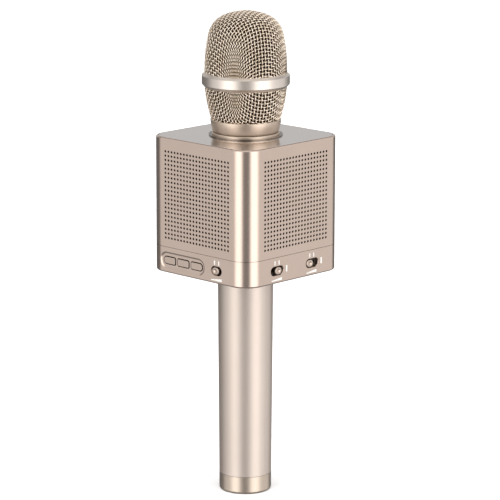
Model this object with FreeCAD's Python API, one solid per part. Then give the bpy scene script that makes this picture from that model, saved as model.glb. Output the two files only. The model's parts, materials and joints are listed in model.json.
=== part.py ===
import FreeCAD, Part
import math
import os

# Karaoke microphone: a handle with a battery inside, a cube with four loudspeakers
# and its controls, and a ball grille on top.
# Millimetres, +Z up, origin at the middle of the end cap's underside.
# The front is the face towards -Y, the right side is the face towards +X.

# ---- driving dimensions ------------------------------------------------------------------

# cube
CUBE_W = 80.0
CUBE_H = 79.0
CUBE_Z = 132.5
CORNER_R = 12.0
WALL = 2.0
BASE_H = 15.35
SEAM = 0.15
FLOOR_T = 3.0
PLATE_T = 2.0
PLATE_PLAY = 0.15
PLATE_EDGE = 0.2
RIM_T = 1.4
EDGE_R = 1.1
LIP_T = 1.9
LIP_PLAY = 0.1
PILLAR_POS = 33.0
PILLAR_R = 3.4
PILLAR_BORE_R = 1.7
POST_POS = 24.0

# speaker perforations
HOLE_ROWS = 21
HOLE_PITCH = 2.52
HOLE_R = 0.65
GRILLE_Z = 178.4

# handle
TUBE_TOP_R = 16.2
TUBE_END_R = 15.25
TUBE_BORE_R = 13.6
CAP_H = 10.3
CAP_EDGE_R = 1.4
FLANGE_R = 22.0
FLANGE_T = 2.0
FLANGE_SCREW_R = 18.9
CELL_R = 9.2
CELL_H = 65.0
CELL_Z = 18.0
SPIGOT_R = 13.3
SPIGOT_BORE_R = 10.8
SPIGOT_TOP = 17.3
CONTACT_Z = 6.5

# neck and head
NECK_RING_R = 21.3
NECK_RING_T = 0.6
NECK_FLANGE_R = 19.5
NECK_FLANGE_T = 1.3
NECK_R = 17.05
NECK_BORE_R = 12.0
NECK_TOP = 220.5
NECK_SCREW_R = 14.5
THREAD_PITCH = 1.5
THREAD_H = 0.6
COLLAR_GAP = 0.2
COLLAR_FOOT_R = 19.0
COLLAR_TOP_R = 20.35
COLLAR_TOP = 221.0
COLLAR_BORE_R = 17.4
LOWER_ARC_R = 81.0
LOWER_ARC_Z = 246.0
LOWER_WIDEST_R = 24.0
BAND_Z = 239.4
BAND_H = 8.4
BAND_R = 25.3
BAND_EDGE_R = 23.5
BAND_BORE_R = 23.0
BAND_BEVEL = 1.9
BAND_TOP_BEVEL = 1.5
DOME_R = 23.85
DOME_SIDE_Z = 249.47
DOME_SIDE_R = 96.4
DOME_SIDE_DEG = 12.36
DOME_KNUCKLE_R = 14.9
DOME_TOP = 283.2
MESH_T = 1.1
LOWER_SKIRT_R = 19.2
SKIRT_T = 0.7
SKIRT_PLAY = 0.05
FOAM_GAP = 0.35
FOAM_T = 3.0
CAPSULE_R = 12.0
CAPSULE_Z = 240.0

# controls, as positions along the face and heights
CONTROL_Z = 140.0
BUTTON_PITCH = 11.0
BUTTON_MID_X = -11.2
BUTTON_W = 8.9
BUTTON_H = 3.8
BUTTON_CORNER_R = 0.8
BUTTON_PLAY = 0.6
BUTTON_SUNK = 0.25
BUTTON_TRAVEL = 0.4
PANEL_W = 34.0
PANEL_H = 8.0
PANEL_X = -11.6
PANEL_DEPTH = 0.5
PANEL_BEVEL = 1.0
SLOT_H = 4.9
SLOT_BEVEL = 0.3
SLOT_BEVEL_DEPTH = 0.5
KNOB_W = 5.2
KNOB_H = 4.1
KNOB_PROUD = 0.5
DISH_R = 2.2
DISH_DEPTH = 0.4
SLIDERS = {
    "slider_knob_front": {"side": "front", "x": 15.9, "slot": 8.0, "shift": -0.4},
    "slider_knob_right_near": {"side": "right", "x": -15.2, "slot": 10.2, "shift": 0.6},
    "slider_knob_right_far": {"side": "right", "x": 13.8, "slot": 10.2, "shift": -2.3},
}

# electronics
BOARD_Z = 143.0
BOARD_T = 1.6
USB_X = -10.0
USB_Z = 141.2
JACK_X = 8.0
JACK_Z = 140.2
LED_X = -1.0

# loudspeakers, as depths behind the cube's face
CLOTH_T = 0.3
GASKET_T = 1.0
SPEAKER_R = 25.5
BASKET_DEPTH = 13.0
MAGNET_R = 15.0
MAGNET_T = 7.0
DUST_CAP_APEX = 7.0
DUST_CAP_SPHERE_R = 15.0

SIDES = {"front": 0, "right": 90, "back": 180, "left": 270}

# ---- derived dimensions ------------------------------------------------------------------

HALF = CUBE_W / 2
CUBE_TOP = CUBE_Z + CUBE_H
PLATE_Z = CUBE_TOP - PLATE_T
HOUSING_Z = CUBE_Z + BASE_H
HOUSING_H = PLATE_Z - HOUSING_Z
BASE_FLOOR_Z = CUBE_Z + FLOOR_T
NECK_Z = CUBE_TOP + NECK_RING_T
NECK_FLANGE_TOP = NECK_Z + NECK_FLANGE_T
BAND_TOP = BAND_Z + BAND_H
FRAME_DEPTH = WALL + CLOTH_T + GASKET_T

ORIGIN = FreeCAD.Vector(0, 0, 0)
UP = FreeCAD.Vector(0, 0, 1)


# ---- shape helpers -----------------------------------------------------------------------

def vec(x, y, z):
    return FreeCAD.Vector(x, y, z)


def at(shape, x=0.0, y=0.0, z=0.0):
    """Copy of a shape, moved."""
    copy = shape.copy()
    copy.translate(vec(x, y, z))
    return copy


def turned(shape, degrees):
    """Copy of a shape, turned about the vertical axis."""
    copy = shape.copy()
    copy.rotate(ORIGIN, UP, degrees)
    return copy


def rod(radius, z0, z1, x=0.0, y=0.0):
    """Upright cylinder between two heights."""
    return Part.makeCylinder(radius, z1 - z0, vec(x, y, z0))


def block(x0, x1, y0, y1, z0, z1):
    return Part.makeBox(x1 - x0, y1 - y0, z1 - z0, vec(x0, y0, z0))


def lathe(points):
    """Solid turned about the Z axis from a closed outline of (r, z) points.

    A step that is a pair of points is an arc through the first to the second."""
    edges = []
    last = points[0]
    for step in points[1:] + points[:1]:
        if isinstance(step[0], tuple):
            mid, end = step
            edges.append(Part.Arc(vec(last[0], 0, last[1]), vec(mid[0], 0, mid[1]),
                                  vec(end[0], 0, end[1])).toShape())
        else:
            end = step
            edges.append(Part.makeLine(vec(last[0], 0, last[1]), vec(end[0], 0, end[1])))
        last = end
    return Part.Face(Part.Wire(edges)).revolve(ORIGIN, UP, 360)


def rounded_wire(width, height, radius):
    """Rounded rectangle in the XY plane, centred on the origin."""
    hx = width / 2
    hy = height / 2
    diagonal = radius * (1 - math.sqrt(0.5))
    edges = []
    for sx, sy in ((1, 1), (-1, 1), (-1, -1), (1, -1)):
        side_end = vec(sx * hx, sy * (hy - radius), 0)
        cap_end = vec(sx * (hx - radius), sy * hy, 0)
        first, second = (side_end, cap_end) if sx == sy else (cap_end, side_end)
        middle = vec(sx * (hx - diagonal), sy * (hy - diagonal), 0)
        if edges and edges[-1].lastVertex().Point.distanceToPoint(first) > 1e-6:
            edges.append(Part.makeLine(edges[-1].lastVertex().Point, first))
        edges.append(Part.Arc(first, middle, second).toShape())
    start = edges[0].firstVertex().Point
    edges.append(Part.makeLine(edges[-1].lastVertex().Point, start))
    return Part.Wire(edges)


def rounded_block(width, radius, z0, z1):
    """Upright square prism with rounded corners, centred on the axis."""
    face = Part.Face(rounded_wire(width, width, radius))
    return at(face.extrude(vec(0, 0, z1 - z0)), z=z0)


def rounded_ring(outer, outer_r, inner, inner_r, z0, z1):
    return rounded_block(outer, outer_r, z0, z1).cut(rounded_block(inner, inner_r, z0, z1))


def into_front(shape, x, z, depth):
    """Take a shape from the XY plane to a depth behind the front face, +Z going inwards."""
    shape.rotate(ORIGIN, vec(1, 0, 0), -90)
    return at(shape, x, depth - HALF, z)


def bar(width, height, radius, x, z, depth0, depth1):
    """Bar with rounded corners, let into the front face between two depths."""
    face = Part.Face(rounded_wire(width, height, radius))
    return into_front(face.extrude(vec(0, 0, depth1 - depth0)), x, z, depth0)


def pill(width, height, x, z, depth0, depth1):
    """Bar with round ends."""
    return bar(width, height, min(width, height) / 2 - 0.001, x, z, depth0, depth1)


def flare(width, height, x, z, bevel, depth):
    """Round-ended funnel in the front face that narrows by the bevel over its depth."""
    mouth = rounded_wire(width + 2 * bevel, height + 2 * bevel, height / 2 + bevel - 0.001)
    throat = at(rounded_wire(width, height, height / 2 - 0.001), z=depth)
    return into_front(Part.makeLoft([mouth, throat], True, True), x, z, 0)


def on_side(shape, side):
    """Take a shape from the front face to the same place on another side."""
    return turned(shape, SIDES[side])


def speaker_part(points, side):
    """Turned part of a loudspeaker from (r, depth behind the face) points."""
    part = lathe(points)
    part.rotate(ORIGIN, vec(1, 0, 0), -90)
    return on_side(at(part, 0, -HALF, GRILLE_Z), side)


def four_places(radius_or_pos, diagonal=True):
    """Four places around the axis, on the diagonals of a square or on a circle."""
    if diagonal:
        pos = radius_or_pos
        return [(pos, pos), (-pos, pos), (-pos, -pos), (pos, -pos)]
    angles = [math.radians(45 + 90 * i) for i in range(4)]
    return [(radius_or_pos * math.cos(a), radius_or_pos * math.sin(a)) for a in angles]


def group(shapes):
    return Part.makeCompound(shapes)


def save(name, shape):
    """Write one sub-part as a STEP file."""
    shape.exportStep("parts/" + name + ".step")


# ---- cube --------------------------------------------------------------------------------

def hole_plate():
    """Flat front of the housing with its square grid of round holes."""
    width = CUBE_W - 2 * CORNER_R
    corners = [vec(-width / 2, -HALF, HOUSING_Z), vec(width / 2, -HALF, HOUSING_Z),
               vec(width / 2, -HALF, HOUSING_Z + HOUSING_H),
               vec(-width / 2, -HALF, HOUSING_Z + HOUSING_H)]
    outline = Part.makePolygon(corners + corners[:1])
    first = -(HOLE_ROWS - 1) / 2 * HOLE_PITCH
    wires = [outline]
    for row in range(HOLE_ROWS):
        for column in range(HOLE_ROWS):
            centre = vec(first + column * HOLE_PITCH, -HALF,
                         GRILLE_Z + first + row * HOLE_PITCH)
            circle = Part.makeCircle(HOLE_R, centre, vec(0, 1, 0))
            wires.append(Part.Wire([circle]))
    face = Part.Face(wires, "Part::FaceMakerBullseye")
    return face.extrude(vec(0, WALL, 0))


def housing_corner():
    """Rounded corner of the housing, with the pillar that the long screw runs in."""
    centre = HALF - CORNER_R
    quarter = rod(CORNER_R, 0, HOUSING_H).cut(rod(CORNER_R - WALL, 0, HOUSING_H))
    quarter = quarter.common(block(0, CORNER_R, 0, CORNER_R, 0, HOUSING_H))
    corner = at(quarter, centre, centre, HOUSING_Z)
    pillar_top = PLATE_Z - 4.5
    pillar_foot = HOUSING_Z + 1.8
    pillar = rod(PILLAR_R, pillar_foot, pillar_top, PILLAR_POS, PILLAR_POS)
    outside = CORNER_R - WALL / 2
    keep = at(rod(outside, pillar_foot, pillar_top), centre, centre)
    corner = corner.fuse(pillar.common(keep))
    return corner.cut(rod(PILLAR_BORE_R, pillar_foot, pillar_top, PILLAR_POS, PILLAR_POS))


def housing_rim():
    """Thinner top of the housing's wall, rounded outside, that the top plate lies in."""
    rim = rounded_block(CUBE_W, CORNER_R, PLATE_Z, CUBE_TOP)
    edges = [e for e in rim.Edges if abs(e.BoundBox.ZMin - CUBE_TOP) < 1e-6]
    rim = rim.makeFillet(EDGE_R, edges)
    inside = CUBE_W - 2 * RIM_T
    return rim.cut(rounded_block(inside, CORNER_R - RIM_T, PLATE_Z, CUBE_TOP))


def speaker_housing():
    plate = hole_plate()
    corner = housing_corner()
    pieces = [on_side(plate, side) for side in SIDES]
    pieces += [turned(corner, 90 * i) for i in range(4)]
    return pieces[0].multiFuse(pieces[1:] + [housing_rim()])


def base_shell():
    """Tray under the housing, with the controls' openings in its walls."""
    top = HOUSING_Z - SEAM
    shell = rounded_block(CUBE_W, CORNER_R, CUBE_Z, top)
    rim = [e for e in shell.Edges if abs(e.BoundBox.ZMax - CUBE_Z) < 1e-6]
    shell = shell.makeFillet(EDGE_R, rim)
    inside = CUBE_W - 2 * WALL
    shell = shell.cut(rounded_block(inside, CORNER_R - WALL, BASE_FLOOR_Z, top))
    tongue = rounded_ring(inside - LIP_PLAY, CORNER_R - WALL, inside - 2 * LIP_T,
                          CORNER_R - WALL - LIP_T, top - 3, HOUSING_Z + 1.5)
    backing = rounded_ring(inside + 0.5, CORNER_R - WALL, inside - 2 * LIP_T,
                           CORNER_R - WALL - LIP_T, top - 3, top)
    shell = shell.fuse(tongue).fuse(backing)
    for x, y in four_places(PILLAR_POS):
        shell = shell.fuse(rod(PILLAR_R, CUBE_Z + 1, top, x, y))
        shell = shell.cut(rod(PILLAR_BORE_R, CUBE_Z, HOUSING_Z + 2, x, y))
        shell = shell.cut(rod(3.1, CUBE_Z, CUBE_Z + 2.2, x, y))
    for x, y in four_places(POST_POS):
        post = rod(2.4, BASE_FLOOR_Z - 0.5, BOARD_Z, x, y)
        shell = shell.fuse(post).cut(rod(0.9, BASE_FLOOR_Z, BOARD_Z, x, y))
    shell = shell.cut(rod(TUBE_TOP_R + 0.05, CUBE_Z, BASE_FLOOR_Z))
    for x, y in four_places(FLANGE_SCREW_R, diagonal=False):
        shell = shell.cut(rod(1.25, CUBE_Z + 0.8, BASE_FLOOR_Z, x, y))
    return shell.cut(control_openings())


def control_openings():
    """Everything that is cut through the base's walls."""
    cuts = [flare(PANEL_W, PANEL_H, PANEL_X, CONTROL_Z, PANEL_BEVEL, PANEL_DEPTH)]
    for x in button_places():
        cuts.append(button_block(x, BUTTON_PLAY, 0, WALL))
    for slider in SLIDERS.values():
        slot = pill(slider["slot"], SLOT_H, slider["x"], CONTROL_Z, 0, WALL)
        mouth = flare(slider["slot"], SLOT_H, slider["x"], CONTROL_Z, SLOT_BEVEL,
                      SLOT_BEVEL_DEPTH)
        cuts += [on_side(slot, slider["side"]), on_side(mouth, slider["side"])]
    cuts.append(on_side(pill(9.4, 3.6, USB_X, USB_Z, 0, WALL), "back"))
    for x, radius in ((JACK_X, 3.1), (LED_X, 1.0)):
        cuts.append(on_side(across(radius, x, JACK_Z, 0, WALL), "back"))
    return group(cuts)


def across(radius, x, z, depth0, depth1):
    """Cylinder standing square to the front face, between two depths."""
    return Part.makeCylinder(radius, depth1 - depth0, vec(x, depth0 - HALF, z), vec(0, 1, 0))


def top_plate():
    """Flat plate in the housing's rim, with bosses for the long screws."""
    inset = RIM_T + PLATE_PLAY
    plate = rounded_block(CUBE_W - 2 * inset, CORNER_R - inset, PLATE_Z, CUBE_TOP)
    edges = [e for e in plate.Edges if abs(e.BoundBox.ZMin - CUBE_TOP) < 1e-6]
    plate = plate.makeChamfer(PLATE_EDGE, edges)
    for x, y in four_places(PILLAR_POS):
        plate = plate.fuse(rod(2.8, PLATE_Z - 4.3, PLATE_Z + 0.1, x, y))
        plate = plate.cut(rod(1.5, PLATE_Z - 4.3, CUBE_TOP - 1, x, y))
    for x, y in four_places(NECK_SCREW_R, diagonal=False):
        plate = plate.cut(rod(1.35, PLATE_Z, CUBE_TOP, x, y))
    return plate.cut(rod(NECK_BORE_R - 1, PLATE_Z, CUBE_TOP))


def screw(shank_r, head_r, head_h, z_seat, z_tip, x, y):
    """Pan-head screw with a cross recess; its head is on the far side from its tip."""
    down = 1 if z_seat > z_tip else -1
    head_end = z_seat + down * head_h
    low, high = sorted((z_seat, head_end))
    head = rod(head_r, low, high, x, y)
    low, high = sorted((z_seat + down * 0.1, z_tip))
    body = head.fuse(rod(shank_r, low, high, x, y))
    slot = head_r * 0.6
    low, high = sorted((head_end, head_end - down * head_h / 2))
    for dx, dy in ((slot, 0.3), (0.3, slot)):
        body = body.cut(block(x - dx, x + dx, y - dy, y + dy, low, high))
    return body


def housing_screws():
    """Four long screws from the underside, through the pillars, into the top plate."""
    return group([screw(1.45, 2.9, 1.9, CUBE_Z + 2.2, PLATE_Z - 0.5, x, y)
                  for x, y in four_places(PILLAR_POS)])


def handle_screws():
    seat = BASE_FLOOR_Z + FLANGE_T
    return group([screw(1.2, 2.3, 1.5, seat, CUBE_Z + 1.2, x, y)
                  for x, y in four_places(FLANGE_SCREW_R, diagonal=False)])


# ---- handle ------------------------------------------------------------------------------

def handle_tube():
    """Tapered tube that reaches through the base's floor."""
    top = BASE_FLOOR_Z + FLANGE_T
    foot = CAP_H + SEAM
    return lathe([(TUBE_END_R, foot), (TUBE_TOP_R, CUBE_Z), (TUBE_TOP_R, top),
                  (TUBE_BORE_R, top), (TUBE_BORE_R, foot + 1.8),
                  (TUBE_BORE_R + 0.6, foot + 1.5), (TUBE_BORE_R + 0.6, foot)])


def handle_flange():
    """Ring brazed on the tube's top end, seated on the base's floor."""
    ring = rod(FLANGE_R, BASE_FLOOR_Z, BASE_FLOOR_Z + FLANGE_T)
    ring = ring.cut(rod(TUBE_TOP_R, BASE_FLOOR_Z, BASE_FLOOR_Z + FLANGE_T))
    for x, y in four_places(FLANGE_SCREW_R, diagonal=False):
        ring = ring.cut(rod(1.3, BASE_FLOOR_Z, BASE_FLOOR_Z + FLANGE_T, x, y))
    return ring


def end_cap():
    """Screw-in cap: hollow spigot with thread ridges, and the seat of the sealing ring."""
    relief = SPIGOT_R - THREAD_H
    points = [(0, 0), (TUBE_END_R - CAP_EDGE_R, 0)]
    corner = CAP_EDGE_R * (1 - math.sqrt(0.5))
    points.append(((TUBE_END_R - corner, corner), (TUBE_END_R, CAP_EDGE_R)))
    points += [(TUBE_END_R, CAP_H), (relief, CAP_H), (relief, CAP_H + 2.2)]
    z = CAP_H + 2.2
    while z + THREAD_PITCH < SPIGOT_TOP:
        points += [(SPIGOT_R, z + 0.35), (SPIGOT_R, z + 0.75), (relief, z + 1.1),
                   (relief, z + THREAD_PITCH)]
        z += THREAD_PITCH
    points += [(relief, SPIGOT_TOP), (SPIGOT_BORE_R, SPIGOT_TOP),
               (SPIGOT_BORE_R, CONTACT_Z), (0, CONTACT_Z)]
    return lathe(points)


def cap_o_ring():
    return Part.makeTorus(SPIGOT_R + 0.1, 0.6, vec(0, 0, CAP_H + 0.85))


def negative_contact():
    """Round contact plate under the spring."""
    return rod(SPIGOT_BORE_R - 0.3, CONTACT_Z + 0.05, CONTACT_Z + 0.45)


def negative_spring():
    """Coil spring between the cap's contact plate and the cell."""
    wire_r = 0.5
    coil_r = 6.0
    low = CONTACT_Z + 0.45 + wire_r
    high = CELL_Z - wire_r
    turns = 4
    helix = Part.makeHelix((high - low) / turns, high - low, coil_r)
    start = helix.Edges[0].firstVertex().Point
    profile = Part.Wire([Part.makeCircle(wire_r, start, vec(0, 1, 0))])
    coil = Part.Wire(helix.Edges).makePipeShell([profile], True, True)
    return at(coil, z=low)


def battery_cell():
    """Cylindrical cell with its raised positive button."""
    top = CELL_Z + CELL_H
    return lathe([(0, CELL_Z), (CELL_R - 0.5, CELL_Z), (CELL_R, CELL_Z + 0.5),
                  (CELL_R, top - 1.6), (CELL_R - 0.5, top - 1.1), (3.0, top - 1.1),
                  (3.0, top), (0, top)])


def battery_sleeve():
    """Insulating sleeve between the cell and the tube."""
    foot = SPIGOT_TOP + 7.2
    return lathe([(CELL_R + 0.4, foot), (TUBE_BORE_R, foot), (TUBE_BORE_R, foot + 60),
                  (CELL_R + 0.4, foot + 60)])


def contact_holder():
    """Plastic plug above the cell that carries the positive contact."""
    foot = SPIGOT_TOP + 67.2
    return lathe([(4.0, foot), (TUBE_BORE_R, foot), (TUBE_BORE_R, foot + 6),
                  (2.0, foot + 6), (2.0, foot + 3), (4.0, foot + 3)])


def positive_contact():
    """Stamped contact that touches the cell's button."""
    low = CELL_Z + CELL_H
    return rod(3.6, low, low + 0.4).fuse(rod(1.6, low + 0.3, SPIGOT_TOP + 70.2))


# ---- loudspeakers ------------------------------------------------------------------------

def speaker_frame(side):
    """Pressed basket: flange, sloping wall with windows, and the seat of the magnet."""
    front = FRAME_DEPTH
    basket = speaker_part([(22.4, front), (SPEAKER_R, front), (SPEAKER_R, front + 1.2),
                           (23.6, front + 1.2), (MAGNET_R + 0.6, BASKET_DEPTH),
                           (MAGNET_R, BASKET_DEPTH + 0.6), (8.4, BASKET_DEPTH + 0.6),
                           (8.4, BASKET_DEPTH - 0.4), (MAGNET_R - 0.6, BASKET_DEPTH - 0.4),
                           (22.4, front + 1.2)], side)
    windows = []
    for i in range(6):
        window = Part.makeCylinder(2.6, 16, vec(0, 9.0 - HALF, GRILLE_Z + 12))
        window.rotate(vec(0, 0, GRILLE_Z), vec(0, 1, 0), 30 + 60 * i)
        windows.append(on_side(window, side))
    return basket.cut(windows)


def speaker_magnet(side):
    """Magnet with its yoke and the ring-shaped gap for the voice coil."""
    front = BASKET_DEPTH + 0.6
    back = front + MAGNET_T
    return speaker_part([(0, front), (6.4, front), (6.4, back - 2), (8.2, back - 2),
                         (8.2, front), (MAGNET_R, front), (MAGNET_R, back), (0, back)], side)


def speaker_cone(side):
    front = FRAME_DEPTH + 0.7
    return speaker_part([(19.4, front), (20.2, front), (20.2, front + 0.5),
                         (19.2, front + 0.5), (7.9, 10.6), (7.3, 10.6), (7.3, 10.0)], side)


def speaker_surrounds():
    """Half-round rubber rolls that hang the cones in their frames."""
    front = FRAME_DEPTH + 0.6
    parts = []
    for side in SIDES:
        parts.append(speaker_part([(20.2, front), ((21.3, front - 1.1), (22.4, front)),
                                   (22.4, front + 0.5), (22.0, front + 0.5),
                                   ((21.3, front - 0.3), (20.6, front + 0.5)),
                                   (20.2, front + 0.5)], side))
    return group(parts)


def dust_caps():
    """Spherical caps glued over the voice coils."""
    centre = DUST_CAP_APEX + DUST_CAP_SPHERE_R
    thin = DUST_CAP_SPHERE_R - 0.4

    def depth(r, sphere_r):
        return centre - math.sqrt(sphere_r ** 2 - r ** 2)

    rim = 7.8
    middle = rim / 2
    outline = [(0, depth(0, DUST_CAP_SPHERE_R)),
               ((middle, depth(middle, DUST_CAP_SPHERE_R)), (rim, depth(rim, DUST_CAP_SPHERE_R))),
               (rim, depth(rim, thin)),
               ((middle, depth(middle, thin)), (0, depth(0, thin)))]
    return group([speaker_part(outline, side) for side in SIDES])


def voice_coils():
    return group([speaker_part([(6.9, 10.6), (7.7, 10.6), (7.7, 17.0), (6.9, 17.0)], side)
                  for side in SIDES])


def speaker_gaskets():
    front = WALL + CLOTH_T
    return group([speaker_part([(22.8, front), (SPEAKER_R, front),
                                (SPEAKER_R, front + GASKET_T), (22.8, front + GASKET_T)], side)
                  for side in SIDES])


def dust_cloths():
    """Thin cloths glued behind the perforations."""
    half = 27.0
    cloth = block(-half, half, WALL - HALF, WALL + CLOTH_T - HALF,
                  GRILLE_Z - half, GRILLE_Z + half)
    return group([on_side(cloth, side) for side in SIDES])


# ---- controls and electronics ------------------------------------------------------------

def button_places():
    return [BUTTON_MID_X + i * BUTTON_PITCH for i in (-1, 0, 1)]


def button_block(x, play, depth0, depth1):
    """Button outline, grown by the play: the end buttons are round on their outer side."""
    width = BUTTON_W + 2 * play
    height = BUTTON_H + 2 * play
    radius = BUTTON_CORNER_R + play
    places = button_places()
    if x == places[1]:
        return bar(width, height, radius, x, CONTROL_Z, depth0, depth1)
    inner = -1 if x == places[2] else 1
    half = bar(width / 2, height, radius, x + inner * width / 4, CONTROL_Z, depth0, depth1)
    return pill(width, height, x, CONTROL_Z, depth0, depth1).fuse(half)


def button(x):
    """Push button: face in the recess, and a wider foot behind the wall."""
    face = button_block(x, 0.0, BUTTON_SUNK, WALL + 0.3)
    foot = block(x - BUTTON_W / 2 - 0.9, x + BUTTON_W / 2 + 0.9, WALL + 0.2 - HALF,
                 WALL + 0.8 - HALF, CONTROL_Z - 3.3, CONTROL_Z + 3.3)
    return face.fuse(foot)


def switch_depth():
    """Depth of the tact switches' plungers: the buttons stop on them."""
    return WALL + 0.8 + BUTTON_TRAVEL + 0.05


def tact_switches():
    switches = []
    front = switch_depth()
    for x in button_places():
        body = block(x - 2.25, x + 2.25, front + 0.6 - HALF, front + 2.2 - HALF,
                     CONTROL_Z - 2.25, CONTROL_Z + 2.25)
        switches.append(body.fuse(across(1.1, x, CONTROL_Z, front, front + 0.7)))
    return group(switches)


def button_board():
    """Small upright board behind the buttons, hung from the main board."""
    front = switch_depth() + 2.2 - HALF
    half = PANEL_W / 2 - 2
    return block(PANEL_X - half, PANEL_X + half, front, front + 1.2, CONTROL_Z - 3.6, BOARD_Z)


def slider_knob(name):
    """Dished thumb knob of a slide control, with the stem that reaches its channel."""
    slider = SLIDERS[name]
    x = slider["x"] + slider["shift"]
    knob = pill(KNOB_W, KNOB_H, x, CONTROL_Z, -KNOB_PROUD, 1.3)
    front = [e for e in knob.Edges if abs(e.BoundBox.YMax + HALF + KNOB_PROUD) < 1e-6]
    knob = knob.makeFillet(0.4, front)
    centre = vec(x, DISH_DEPTH - DISH_R - KNOB_PROUD - HALF, CONTROL_Z)
    knob = knob.cut(Part.makeSphere(DISH_R, centre))
    stem = block(x - 1.0, x + 1.0, 1.2 - HALF, WALL + 3.0 - HALF,
                 CONTROL_Z - 0.7, CONTROL_Z + 0.7)
    return on_side(knob.fuse(stem), slider["side"])


def slider_bodies():
    """Slide controls behind the slots, each with a channel for its stem."""
    bodies = []
    for slider in SLIDERS.values():
        x = slider["x"]
        front = WALL + 0.3 - HALF
        body = block(x - 6.8, x + 6.8, front, front + 4.2, CONTROL_Z - 3.0, BOARD_Z)
        channel = block(x - 4.1, x + 4.1, front, front + 3.1,
                        CONTROL_Z - 0.9, CONTROL_Z + 0.9)
        bodies.append(on_side(body.cut(channel), slider["side"]))
    return group(bodies)


def main_pcb():
    """Square board on the base's posts, with a hole for the handle's wires."""
    board = rounded_block(70.0, 3.0, BOARD_Z, BOARD_Z + BOARD_T)
    for x, y in four_places(PILLAR_POS):
        board = board.cut(rod(PILLAR_R + 0.6, BOARD_Z, BOARD_Z + BOARD_T, x, y))
    for x, y in four_places(POST_POS):
        board = board.cut(rod(1.1, BOARD_Z, BOARD_Z + BOARD_T, x, y))
    return board.cut(rod(8.0, BOARD_Z, BOARD_Z + BOARD_T))


def pcb_screws():
    seat = BOARD_Z + BOARD_T
    return group([screw(0.85, 1.9, 1.2, seat, BASE_FLOOR_Z + 1.5, x, y)
                  for x, y in four_places(POST_POS)])


def pcb_components():
    """Larger parts on top of the main board: chips, capacitors and an inductor."""
    top = BOARD_Z + BOARD_T
    chips = [block(x - w / 2, x + w / 2, y - d / 2, y + d / 2, top, top + h)
             for x, y, w, d, h in ((-16, 2, 8, 8, 1.2), (14, -12, 6, 6, 1.0),
                                   (15, 8, 9, 7, 1.4), (-14, -15, 5, 6, 1.6))]
    cans = [rod(2.5, top, top + 6.0, x, y) for x, y in ((2, 20), (9, 21), (-5, -20))]
    return group(chips + cans + [block(-8, -2, 13, 19, top, top + 3.0)])


def usb_port():
    """Charging socket on the underside of the board, open to the back."""
    shell = pill(8.9, 3.2, USB_X, USB_Z, 0.4, 7.6)
    shell = shell.cut(pill(8.3, 2.6, USB_X, USB_Z, 0.4, 7.0))
    tongue = block(USB_X - 3.3, USB_X + 3.3, 1.6 - HALF, 7.2 - HALF,
                   USB_Z - 0.35, USB_Z + 0.35)
    return on_side(shell.fuse(tongue), "back")


def audio_jack():
    """Round socket for an audio plug."""
    body = block(JACK_X - 3.0, JACK_X + 3.0, WALL + 0.1 - HALF, 14.0 - HALF,
                 JACK_Z - 2.8, BOARD_Z)
    body = body.fuse(across(3.0, JACK_X, JACK_Z, 0.3, WALL + 1))
    return on_side(body.cut(across(1.8, JACK_X, JACK_Z, 0.3, 12.0)), "back")


def status_led():
    lens = across(0.95, LED_X, JACK_Z, 0.2, WALL + 1.0)
    body = block(LED_X - 1.6, LED_X + 1.6, WALL + 1.0 - HALF, WALL + 2.5 - HALF,
                 JACK_Z - 1.6, BOARD_Z)
    return on_side(lens.fuse(body), "back")


# ---- neck and head -----------------------------------------------------------------------

def neck_ring():
    """Thin trim washer between the neck and the top plate."""
    ring = rod(NECK_RING_R, CUBE_TOP, NECK_Z).cut(rod(NECK_BORE_R, CUBE_TOP, NECK_Z))
    for x, y in four_places(NECK_SCREW_R, diagonal=False):
        ring = ring.cut(rod(1.35, CUBE_TOP, NECK_Z, x, y))
    return ring


def neck():
    """Turned neck: foot flange, and a barrel with thread ridges for the grille's collar."""
    root = NECK_R - THREAD_H
    points = [(NECK_BORE_R, NECK_Z), (NECK_FLANGE_R, NECK_Z),
              (NECK_FLANGE_R, NECK_FLANGE_TOP - 0.3),
              (NECK_FLANGE_R - 0.3, NECK_FLANGE_TOP), (root, NECK_FLANGE_TOP)]
    z = NECK_FLANGE_TOP + 0.6
    while z + THREAD_PITCH < NECK_TOP:
        points += [(root, z), (NECK_R, z + 0.35), (NECK_R, z + 0.75), (root, z + 1.1)]
        z += THREAD_PITCH
    points += [(root, NECK_TOP), (NECK_BORE_R, NECK_TOP)]
    body = lathe(points)
    for x, y in four_places(NECK_SCREW_R, diagonal=False):
        body = body.cut(rod(1.2, NECK_Z, CUBE_TOP + 5.5, x, y))
    return body


def neck_screws():
    return group([screw(1.2, 2.2, 1.4, PLATE_Z, CUBE_TOP + 5.0, x, y)
                  for x, y in four_places(NECK_SCREW_R, diagonal=False)])


def grille_collar():
    """Ring that screws onto the neck and holds the lower basket in its rim."""
    foot = NECK_FLANGE_TOP + COLLAR_GAP
    middle_z = (foot + COLLAR_TOP) / 2
    middle_r = (COLLAR_FOOT_R + COLLAR_TOP_R) / 2 + 0.25
    rebate = LOWER_SKIRT_R
    return lathe([(COLLAR_BORE_R, foot), (COLLAR_FOOT_R - 0.3, foot),
                  (COLLAR_FOOT_R, foot + 0.3),
                  ((middle_r, middle_z), (COLLAR_TOP_R, COLLAR_TOP - 0.3)),
                  (COLLAR_TOP_R - 0.3, COLLAR_TOP), (rebate, COLLAR_TOP),
                  (rebate, COLLAR_TOP - 1.5), (COLLAR_BORE_R, COLLAR_TOP - 1.5)])


def on_circle(centre, radius, degrees):
    angle = math.radians(degrees)
    return (centre[0] + radius * math.cos(angle), centre[1] + radius * math.sin(angle))


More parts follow.
